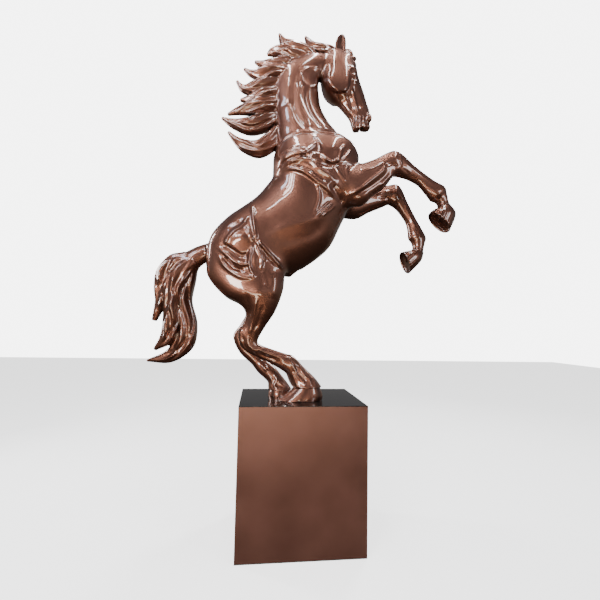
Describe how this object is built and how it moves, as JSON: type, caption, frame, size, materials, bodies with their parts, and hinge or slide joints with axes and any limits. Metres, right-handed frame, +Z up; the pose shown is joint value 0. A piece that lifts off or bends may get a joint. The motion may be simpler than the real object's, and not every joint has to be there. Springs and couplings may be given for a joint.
{
  "type": "horse statue",
  "caption": "Rearing horse cast in polished bronze, standing on its hind hooves on a tall rectangular plinth.",
  "frame": {"origin": "centre of the plinth's underside", "axes": "+Z up, +X the way the horse faces, -Y its right side"},
  "size_m": [2.2743, 0.69, 3.8029],
  "materials": {
    "polished_bronze": "polished and lacquered, reddish brown",
    "bronze_sheet": "satin brown metal sheet",
    "armature_steel": "mill finish"
  },
  "bodies": {
    "root": {"armature_leg_left": "armature_steel", "armature_leg_right": "armature_steel", "armature_nut_left": "armature_steel", "armature_nut_right": "armature_steel", "armature_spine": "armature_steel", "armature_washer_left": "armature_steel", "armature_washer_right": "armature_steel", "armature_yoke": "armature_steel", "barrel": "polished_bronze", "chest": "polished_bronze", "ear_left": "polished_bronze", "ear_right": "polished_bronze", "fore_arm_left": "polished_bronze", "fore_arm_right": "polished_bronze", "fore_cannon_left": "polished_bronze", "fore_cannon_right": "polished_bronze", "fore_hoof_left": "polished_bronze", "fore_hoof_right": "polished_bronze", "forelock": "polished_bronze", "head": "polished_bronze", "hind_cannon_left": "polished_bronze", "hind_cannon_right": "polished_bronze", "hind_hoof_left": "polished_bronze", "hind_hoof_right": "polished_bronze", "hind_thigh_left": "polished_bronze", "hind_thigh_right": "polished_bronze", "hindquarters": "polished_bronze", "mane_lock_01": "polished_bronze", "mane_lock_02": "polished_bronze", "mane_lock_03": "polished_bronze", "mane_lock_04": "polished_bronze", "mane_lock_05": "polished_bronze", "mane_lock_06": "polished_bronze", "mane_lock_07": "polished_bronze", "mane_lock_08": "polished_bronze", "mane_lock_09": "polished_bronze", "mane_lock_10": "polished_bronze", "mounting_plate": "armature_steel", "neck": "polished_bronze", "plinth_floor_plate": "armature_steel", "plinth_panel_back": "bronze_sheet", "plinth_panel_front": "bronze_sheet", "plinth_panel_left_end": "bronze_sheet", "plinth_panel_right_end": "bronze_sheet", "plinth_post_back_left": "armature_steel", "plinth_post_back_right": "armature_steel", "plinth_post_front_left": "armature_steel", "plinth_post_front_right": "armature_steel", "plinth_top_plate": "bronze_sheet", "sheath": "polished_bronze", "tail_lock_front": "polished_bronze", "tail_lock_middle": "polished_bronze", "tail_lock_rear": "polished_bronze", "tail_root": "polished_bronze"}
  },
  "joints": []
}
